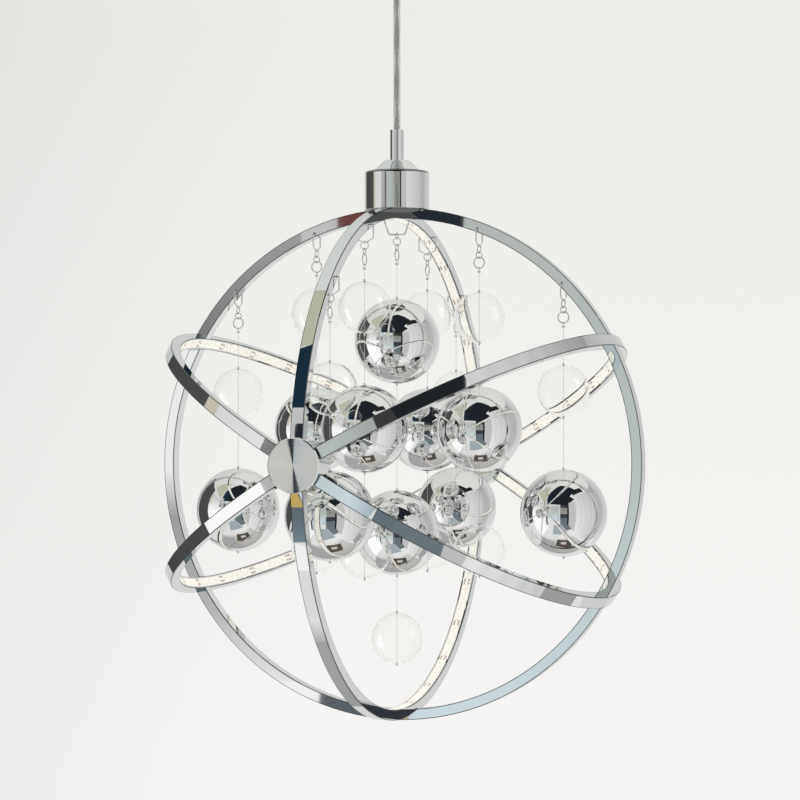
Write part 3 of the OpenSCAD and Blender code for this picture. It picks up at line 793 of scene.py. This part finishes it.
BACKGROUND_TOP = (0.831, 0.835, 0.807)
BACKGROUND_LOW = (0.930, 0.914, 0.902)
BACKGROUND_LEFT = (0.915, 0.925, 0.925)
BACKGROUND_FOOT, BACKGROUND_HEAD = -0.125, 0.155
BACKGROUND_FAR_LEFT, BACKGROUND_NEAR_LEFT = -0.16, -0.04
DIFFUSE_TONE = (0.98, 0.99, 1.0, 1)
DIFFUSE_LEVEL = 0.8
FLOOR_DROP = 2.1
FLOOR_SIDES = 96
FLOOR_RADIUS = 5.0
FLOOR_SOLID = 1.5
CEILING = 1.15
CARPET = -1.5
TABLE = CARPET + 0.05
CLOTH = CARPET + 0.06


def board_glow():
    """One glowing paint for every board: it shows the tones of the corners to reflections."""
    material = bpy.data.materials.new("board_glow")
    material.use_nodes = True
    material.cycles.emission_sampling = "NONE"
    tree = material.node_tree
    tree.nodes.clear()
    tone = add(tree, "ShaderNodeAttribute", attribute_name="tone")
    glow = add(tree, "ShaderNodeEmission")
    unseen = add(tree, "ShaderNodeBsdfTransparent")
    path = add(tree, "ShaderNodeLightPath")
    reflected = add(tree, "ShaderNodeMath", operation="GREATER_THAN")
    reflected.inputs[1].default_value = 0.5
    mixed = add(tree, "ShaderNodeMixShader")
    out = add(tree, "ShaderNodeOutputMaterial")
    link(tree, tone.outputs["Color"], glow.inputs["Color"])
    link(tree, path.outputs["Glossy Depth"], reflected.inputs[0])
    link(tree, reflected.outputs[0], mixed.inputs["Fac"])
    link(tree, unseen.outputs["BSDF"], mixed.inputs[1])
    link(tree, glow.outputs["Emission"], mixed.inputs[2])
    link(tree, mixed.outputs["Shader"], out.inputs["Surface"])
    return material


glowing = board_glow()


def grey(*levels):
    return [(level, level, level) for level in levels]


def board(name, corners, tones):
    """A board that only reflections see: its corners in turn, and one tone for all or each."""
    deselect()
    bpy.ops.mesh.primitive_plane_add(size=1)
    piece = named(name)
    paint = piece.data.attributes.new("tone", "FLOAT_COLOR", "POINT")
    for vertex, i in zip(piece.data.vertices, (0, 1, 3, 2)):
        vertex.co = SPHERE_MID + Vector(corners[i])
        paint.data[vertex.index].color = (*tones[i % len(tones)], 1)
    piece.data.materials.append(glowing)
    piece.visible_camera = False
    piece.visible_diffuse = False
    piece.visible_shadow = False


def level_board(name, height, outline, tones):
    board(name, [(x, y, height) for x, y in outline], tones)


def upright(name, left, right, low, high, tones):
    """Upright board between two (x, y) edges; tones start low at the left and go round."""
    board(name, [(*left, low), (*right, low), (*right, high), (*left, high)], tones)


def ceiling_boards():
    for name, tone, *outline in (
            ("dark_ceiling_far", (0.012, 0.03, 0.05),
             (-1.45, -2.6), (-0.54, -0.97), (-0.45, -0.87), (-0.45, -2.7)),
            ("dark_ceiling_left", (0.016, 0.021, 0.028),
             (-0.45, -2.7), (-0.45, -0.87), (0.1, -0.28), (0.1, -2.8)),
            ("dark_ceiling_mid", (0.016, 0.02, 0.026),
             (0.1, -2.8), (0.1, -0.28), (0.85, -0.22), (1.1, -2.8)),
            ("dark_ceiling_right", (0.016, 0.02, 0.022),
             (1.1, -2.8), (0.9, -0.95), (1.42, -1.02), (1.6, -2.8)),
            ("dark_rail", (0.02, 0.02, 0.02),
             (0.72, -0.5), (0.907, 0.1), (1.25, 0.13), (1.05, -0.75)),
            ("warm_ceiling", (0.55, 0.55, 0.43),
             (-1.3, -1.9), (-0.54, -0.97), (-0.30, -0.31), (-1.3, -0.31))):
        level_board(name, CEILING, outline, [tone])


def left_boards():
    near, far = (-1.13, -0.43), (-0.96, -1.34)
    upright("white_board_low", near, far, -1.5, -0.15, grey(1.17))
    upright("white_board_high", near, far, -0.15, 0.65, grey(1.17, 1.17, 0.62, 0.62))
    upright("warm_edge", (-1.12, -0.43), (-1.09, -0.60), 0.2, 0.65, [(0.66, 0.61, 0.5)])
    upright("dark_board", (-1.16, 0.67), near, -0.45, 0.85, grey(0.08))
    left, right = (-1.12, -1.52), (-0.68, -1.52)
    for name, low, high, low_tone, top_tone in (
            ("panel_foot", -1.5, -0.36, 1.05, 1.05), ("panel_sill", -0.36, -0.25, 0.95, 0.56),
            ("panel_low", -0.25, -0.10, 0.56, 0.40), ("panel_rise", -0.10, -0.03, 0.40, 0.95),
            ("panel_mid", -0.03, 0.17, 1.0, 1.0), ("panel_high", 0.17, 0.5, 0.22, 0.55),
            ("panel_top", 0.5, 0.9, 0.55, 0.55)):
        upright(name, left, right, low, high, grey(low_tone, low_tone, top_tone, top_tone))


def gap_boards():
    """The dark opening between the panel and the passage, and the ledges over and under it."""
    depth = -1.5
    dark, dusk, dim = (0.02, 0.027, 0.037), (0.10, 0.11, 0.12), (0.20, 0.27, 0.32)
    for name, low, high, low_tone, high_tone in (
            ("gap_low", (-0.78, -0.60, -0.93), (-0.69, -0.545, -0.27), dim, dusk),
            ("gap_narrowing", (-0.546, -0.475, -0.27), (-0.551, -0.535, 0), dark, dark),
            ("gap_widening", (-0.551, -0.535, 0), (-0.623, -0.538, 0.27), dark, dark),
            ("gap_high", (-0.562, -0.47, 0.27), (-0.574, -0.46, 0.44), dark, dark)):
        board(name, [(low[0], depth, low[2]), (low[1], depth, low[2]), (high[1], depth, high[2]),
                     (high[0], depth, high[2])], [low_tone, low_tone, high_tone, high_tone])
    upright("gap_side", (-0.80, -1.505), (-0.53, -1.505), -0.27, 0.27, [(0.66, 0.66, 0.62)])
    upright("gap_edge", (-0.545, -1.505), (-0.33, -1.505), -0.27, 0.27,
            [(0.56, 0.60, 0.64), (0.66, 0.66, 0.62), (0.66, 0.66, 0.62), (0.50, 0.56, 0.60)])
    upright("gap_ledge", (-0.74, -1.505), (-0.565, -1.505), 0.27, 0.62, grey(0.62))
    upright("gap_lintel", (-0.74, -1.5), (-0.45, -1.5), 0.44, 0.62, grey(0.62))
    upright("red_book", (-0.671, -1.49), (-0.615, -1.49), 0.30, 0.44, [(0.165, 0.062, 0.055)])
    upright("gold_rail", (-0.58, -1.49), (-0.555, -1.49), -0.46, -0.28, [(0.62, 0.44, 0.14)])


def passage_boards():
    low, mid, top = (0.79, 0.92, 1.0), (0.56, 0.62, 0.60), (0.53, 0.55, 0.52)
    shade, far_top = (0.42, 0.50, 0.56), (0.43, 0.46, 0.43)
    left, half, right = (-0.60, -1.55), (-0.10, -1.55), (0.33, -1.55)
    upright("passage_low_left", left, half, -0.55, 0, [low, low, mid, mid])
    upright("passage_low_right", half, right, -0.55, 0, [low, shade, mid, mid])
    upright("passage_high_left", left, half, 0, 0.5, [mid, mid, top, top])
    upright("passage_high_right", half, right, 0, 0.5, [mid, mid, far_top, top])
    left, right = (0.6, -3), (2.6, -3)
    for name, low, high, low_tone, top_tone in (
            ("passage_end_foot", -1.8, -0.7, (0.15, 0.19, 0.22), (0.15, 0.19, 0.22)),
            ("passage_end_low", -0.7, -0.1, (0.05, 0.055, 0.07), (0.05, 0.055, 0.07)),
            ("passage_end_mid", -0.1, 0.8, (0.36, 0.36, 0.34), (0.30, 0.30, 0.27)),
            ("passage_end_top", 0.8, 1.3, (0.05, 0.05, 0.05), (0.05, 0.05, 0.05))):
        upright(name, left, right, low, high, [low_tone, low_tone, top_tone, top_tone])
    upright("passage_picture", (1.07, -2.98), (1.26, -2.98), 0.38, 0.57, grey(0.11))
    upright("door_frame", (0.86, -1.38), (0.95, -1.3), -0.9, 0.75, grey(0.02))


FOLDS = 9
FOLD_LIGHT, FOLD_DARK = 1.05, 0.95
CURTAIN_LOW, CURTAIN_LOW_FALL = 0.98, 0.26
CURTAIN_TOP, CURTAIN_TOP_FALL = 0.74, 0.18


def right_boards():
    """A pale curtain with folds on the right and the dimmer corner behind it."""
    edge, near, far, rear = (0.95, -1.3), (1.18, -0.85), (1.5, 0.55), (1.1, 1.15)
    board("right_edge", [(*edge, -0.85), (*near, -1.42), (*near, 0.75), (*edge, 0.75)], grey(0.60))
    for i in range(FOLDS):
        left, right = i / FOLDS, (i + 1) / FOLDS
        spots, lows, tops = [], [], []
        folds = (FOLD_LIGHT, FOLD_DARK) if i % 2 else (FOLD_DARK, FOLD_LIGHT)
        for part, fold in zip((left, right), folds):
            spots.append([a + (b - a) * part for a, b in zip(near, far)])
            lows.append((CURTAIN_LOW - CURTAIN_LOW_FALL * part) * fold)
            tops.append((CURTAIN_TOP - CURTAIN_TOP_FALL * part) * fold)
        upright("curtain_fold", *spots, -2.0, 1.24, grey(*lows, *reversed(tops)))
    upright("rear_shade_low", far, rear, -1.8, -1.0, grey(0.40))
    upright("rear_shade_mid", far, rear, -1.0, 0.85, grey(0.55, 0.62, 0.50, 0.54))
    upright("rear_shade_high", far, rear, 0.85, 1.3, grey(0.54, 0.42, 0.38, 0.54))
    upright("rear_shade_far", rear, (0.3, 1.6), 0.45, 1.3, grey(0.57, 0.80, 0.80, 0.52))
    upright("rear_wall", rear, (0.3, 1.6), -1.0, 0.45, grey(0.74, 0.87, 0.82, 0.62))


def carpet_boards():
    level_board("carpet_rear", CARPET, ((-1.2, -0.3), (-0.25, -0.3), (-0.25, 1.3), (-1.2, 1.3)),
                grey(0.43))
    level_board("carpet_under", CARPET, ((-0.25, -0.3), (1.0, -0.3), (1.0, 1.3), (-0.25, 1.3)),
                [(0.62, 0.61, 0.57), (0.70, 0.69, 0.65), (0.5, 0.5, 0.48), (0.43, 0.43, 0.43)])
    level_board("carpet_edge", CARPET, ((-1.2, -0.65), (1.0, -0.65), (1.0, -0.3), (-1.2, -0.3)),
                grey(0.9, 0.9, 0.62, 0.45))
    level_board("passage_carpet", CARPET, ((-0.3, -2.6), (0.6, -2.6), (0.8, -1.0), (-0.3, -1.0)),
                [(0.40, 0.46, 0.50)])
    level_board("dark_carpet", CARPET, ((0.6, -3.0), (2.0, -3.0), (1.7, -1.3), (0.8, -1.3)),
                [(0.17, 0.21, 0.23)])
    level_board("low_table", TABLE, ((-0.01, -0.52), (0.64, -0.27), (0.41, 0.34), (-0.24, 0.09)),
                [(0.10, 0.085, 0.07)])
    level_board("table_cloth", CLOTH, ((0.12, -0.28), (0.36, -0.19), (0.29, 0.0), (0.05, -0.09)),
                [(0.62, 0.60, 0.55)])


def studio_boards():
    ceiling_boards()
    left_boards()
    gap_boards()
    passage_boards()
    right_boards()
    carpet_boards()


def studio_floor():
    """Pale round floor that fades into the background towards its rim."""
    middle = SPHERE_MID - Vector((0, 0, FLOOR_DROP))
    deselect()
    bpy.ops.mesh.primitive_circle_add(
        vertices=FLOOR_SIDES, radius=FLOOR_RADIUS, fill_type="NGON", location=middle)
    floor = named("studio_floor")
    apply_place(floor)
    material = finish_base(
        "pale_floor", ((0.93, 0.93, 0.92), (0.90, 0.90, 0.895)), 2, film=(8, 0.7, 0.85))
    tree = material.node_tree
    place = add(tree, "ShaderNodeTexCoord")
    reach = add(tree, "ShaderNodeVectorMath", operation="DISTANCE")
    reach.inputs[1].default_value = middle
    fade = add(tree, "ShaderNodeMapRange", interpolation_type="SMOOTHSTEP")
    fade.inputs["From Min"].default_value = FLOOR_RADIUS
    fade.inputs["From Max"].default_value = FLOOR_SOLID
    link(tree, place.outputs["Object"], reach.inputs[0])
    link(tree, reach.outputs["Value"], fade.inputs["Value"])
    link(tree, fade.outputs["Result"], tree.nodes["Principled BSDF"].inputs["Alpha"])
    floor.data.materials.append(material)
    floor.visible_glossy = False


def studio_world():
    """Pale all round: darker upwards and to the left of the photo."""
    world = bpy.data.worlds.new("studio_world")
    scene.world = world
    world.use_nodes = True
    tree = world.node_tree
    tree.nodes.clear()
    place = add(tree, "ShaderNodeTexCoord")
    split = add(tree, "ShaderNodeSeparateXYZ")
    height = add(tree, "ShaderNodeMapRange")
    height.inputs["From Min"].default_value = BACKGROUND_FOOT
    height.inputs["From Max"].default_value = BACKGROUND_HEAD
    tone = add(tree, "ShaderNodeMix", data_type="RGBA")
    tone.inputs["A"].default_value = (*BACKGROUND_LOW, 1)
    tone.inputs["B"].default_value = (*BACKGROUND_TOP, 1)
    aside = add(tree, "ShaderNodeVectorMath", operation="DOT_PRODUCT")
    turn = math.radians(VIEW_TURN)
    aside.inputs[1].default_value = (math.cos(turn), math.sin(turn), 0)
    left = add(tree, "ShaderNodeMapRange")
    left.inputs["From Min"].default_value = BACKGROUND_FAR_LEFT
    left.inputs["From Max"].default_value = BACKGROUND_NEAR_LEFT
    shade = add(tree, "ShaderNodeMix", data_type="RGBA")
    shade.inputs["A"].default_value = (*BACKGROUND_LEFT, 1)
    shade.inputs["B"].default_value = (1, 1, 1, 1)
    shaded = add(tree, "ShaderNodeMix", data_type="RGBA", blend_type="MULTIPLY")
    shaded.inputs["Factor"].default_value = 1
    seen = add(tree, "ShaderNodeBackground")
    light = add(tree, "ShaderNodeBackground")
    light.inputs["Color"].default_value = DIFFUSE_TONE
    light.inputs["Strength"].default_value = DIFFUSE_LEVEL
    path = add(tree, "ShaderNodeLightPath")
    either = add(tree, "ShaderNodeMath", operation="MAXIMUM")
    any_seen = add(tree, "ShaderNodeMath", operation="MAXIMUM")
    mixed = add(tree, "ShaderNodeMixShader")
    out = add(tree, "ShaderNodeOutputWorld")
    link(tree, place.outputs["Generated"], split.inputs["Vector"])
    link(tree, split.outputs["Z"], height.inputs["Value"])
    link(tree, height.outputs["Result"], tone.inputs["Factor"])
    link(tree, place.outputs["Generated"], aside.inputs[0])
    link(tree, aside.outputs["Value"], left.inputs["Value"])
    link(tree, left.outputs["Result"], shade.inputs["Factor"])
    link(tree, tone.outputs["Result"], shaded.inputs["A"])
    link(tree, shade.outputs["Result"], shaded.inputs["B"])
    link(tree, shaded.outputs["Result"], seen.inputs["Color"])
    link(tree, path.outputs["Is Camera Ray"], either.inputs[0])
    link(tree, path.outputs["Is Glossy Ray"], either.inputs[1])
    link(tree, either.outputs[0], any_seen.inputs[0])
    link(tree, path.outputs["Is Transmission Ray"], any_seen.inputs[1])
    link(tree, any_seen.outputs[0], mixed.inputs["Fac"])
    link(tree, light.outputs["Background"], mixed.inputs[1])
    link(tree, seen.outputs["Background"], mixed.inputs[2])
    link(tree, mixed.outputs["Shader"], out.inputs["Surface"])


def soft_lamp(name, turn, rise, reach, side, watts):
    """Square area lamp that points at the sphere's middle and isn't seen itself."""
    way = studio_direction(turn, rise)
    bpy.ops.object.light_add(type="AREA", location=SPHERE_MID + way * reach)
    lamp = named(name)
    lamp.rotation_euler = (-way).to_track_quat("-Z", "Y").to_euler()
    lamp.data.size = side
    lamp.data.energy = watts
    lamp.visible_camera = False
    lamp.visible_glossy = False
    lamp.visible_transmission = False
    return lamp


GLINT_REACH = 0.9
GLINT_W, GLINT_H = 0.34, 0.7
GLINT_WATTS = 38


def glint_lamps():
    """Two soft panes that show as white glints on the clear balls alone."""
    balls = bpy.data.collections.new("clear_balls")
    for name, node in nodes.items():
        if name.startswith("clear_"):
            balls.objects.link(node)
    for name, turn, rise in (("glint_right", 96, 21), ("glint_left", -62, -17)):
        lamp = soft_lamp(name, turn, rise, GLINT_REACH, GLINT_W, GLINT_WATTS)
        lamp.data.shape = "RECTANGLE"
        lamp.data.size_y = GLINT_H
        lamp.visible_glossy = True
        lamp.data.cycles.use_multiple_importance_sampling = False
        lamp.light_linking.receiver_collection = balls


scene.view_settings.view_transform = "Standard"
photo_camera()
finishes = make_finishes()
pendant_cord(finishes)
dress_nodes(finishes)
light_rows(finishes)
studio_world()
studio_floor()
studio_boards()
soft_lamp("key_lamp", turn=-40, rise=55, reach=2.2, side=1.6, watts=9)
glint_lamps()
